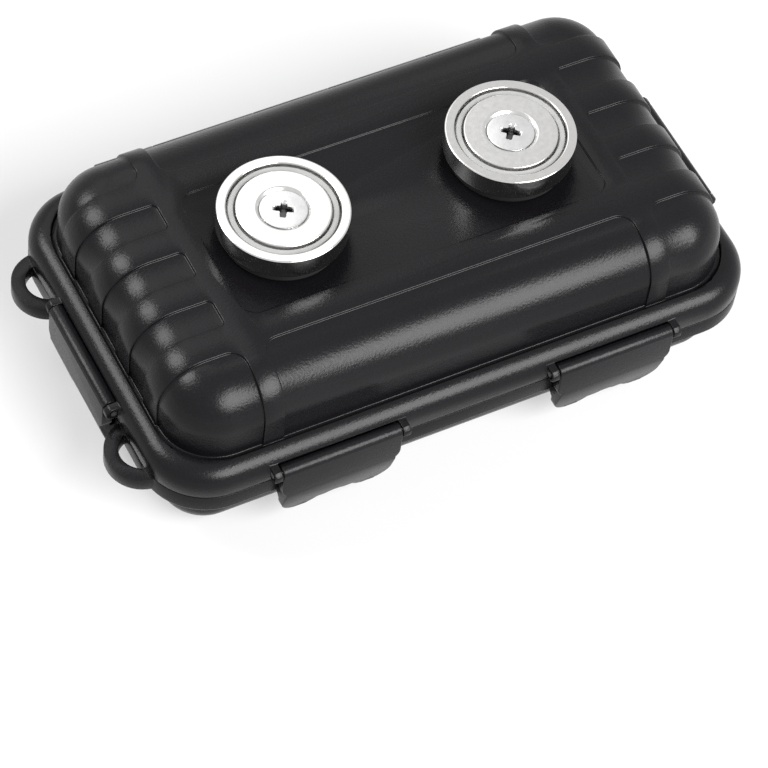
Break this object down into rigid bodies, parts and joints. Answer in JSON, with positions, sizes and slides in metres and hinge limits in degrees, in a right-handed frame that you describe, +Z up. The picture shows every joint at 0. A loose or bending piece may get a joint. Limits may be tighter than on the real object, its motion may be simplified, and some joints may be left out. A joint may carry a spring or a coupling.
{
  "type": "magnetic key holder box",
  "caption": "Small black latched box with a hinged lid, foam lining, lanyard loops and pot magnets on its lid that hold it to a steel surface.",
  "frame": {"origin": "in the plane that the feet stand on, under the middle of the rim where lid and base meet", "axes": "+X along the box, away from the lanyard loops; +Y from the latched front to the hinge at the back; +Z up, from the base to the magnet faces"},
  "size_m": [0.1329, 0.0819, 0.0446],
  "materials": {
    "case_plastic": "fine-grained black moulded plastic with a satin sheen",
    "pin_steel": "plain drawn steel wire",
    "seal_rubber": "soft black moulded rubber",
    "foam": "dark grey open-cell foam",
    "pad_rubber": "matt black rubber",
    "cup_nickel": "bright nickel plating with faint turning marks",
    "core_nickel": "bright nickel plating, slightly grainy",
    "resin": "grey potting resin",
    "screw_zinc": "zinc-plated steel with a cross recess",
    "nut_zinc": "zinc-plated steel"
  },
  "bodies": {
    "base": {"base_shell": "case_plastic", "hinge_pin": "pin_steel", "base_foam": "foam"},
    "lid": {"lid_shell": "case_plastic", "seal_ring": "seal_rubber", "lid_foam": "foam", "latch_pin_front_left": "pin_steel", "latch_pin_front_right": "pin_steel", "latch_pin_end_left": "pin_steel", "latch_pin_end_right": "pin_steel", "magnet_pad_left": "pad_rubber", "magnet_pad_right": "pad_rubber", "magnet_cup_left": "cup_nickel", "magnet_cup_right": "cup_nickel", "magnet_core_left": "core_nickel", "magnet_core_right": "core_nickel", "resin_ring_left": "resin", "resin_ring_right": "resin", "screw_left": "screw_zinc", "screw_right": "screw_zinc", "washer_left": "nut_zinc", "washer_right": "nut_zinc", "nut_left": "nut_zinc", "nut_right": "nut_zinc"},
    "latch_front_left": {"latch_front_left": "case_plastic"},
    "latch_front_right": {"latch_front_right": "case_plastic"},
    "latch_end_left": {"latch_end_left": "case_plastic"},
    "latch_end_right": {"latch_end_right": "case_plastic"}
  },
  "joints": [
    {"name": "lid_hinge", "type": "hinge", "parent": "base", "child": "lid", "pos_m": [0, 0.0399, 0.0169], "axis": [-1, 0, 0], "range_deg": [0, 115]},
    {"name": "latch_hinge_front_left", "type": "hinge", "parent": "lid", "child": "latch_front_left", "pos_m": [-0.0288, -0.0379, 0.0196], "axis": [-1, 0, 0], "range_deg": [0, 110]},
    {"name": "latch_hinge_front_right", "type": "hinge", "parent": "lid", "child": "latch_front_right", "pos_m": [0.0288, -0.0379, 0.0196], "axis": [-1, 0, 0], "range_deg": [0, 110]},
    {"name": "latch_hinge_end_left", "type": "hinge", "parent": "lid", "child": "latch_end_left", "pos_m": [-0.0634, 0, 0.0196], "axis": [0, 1, 0], "range_deg": [0, 110]},
    {"name": "latch_hinge_end_right", "type": "hinge", "parent": "lid", "child": "latch_end_right", "pos_m": [0.0634, 0, 0.0196], "axis": [0, -1, 0], "range_deg": [0, 110]}
  ]
}
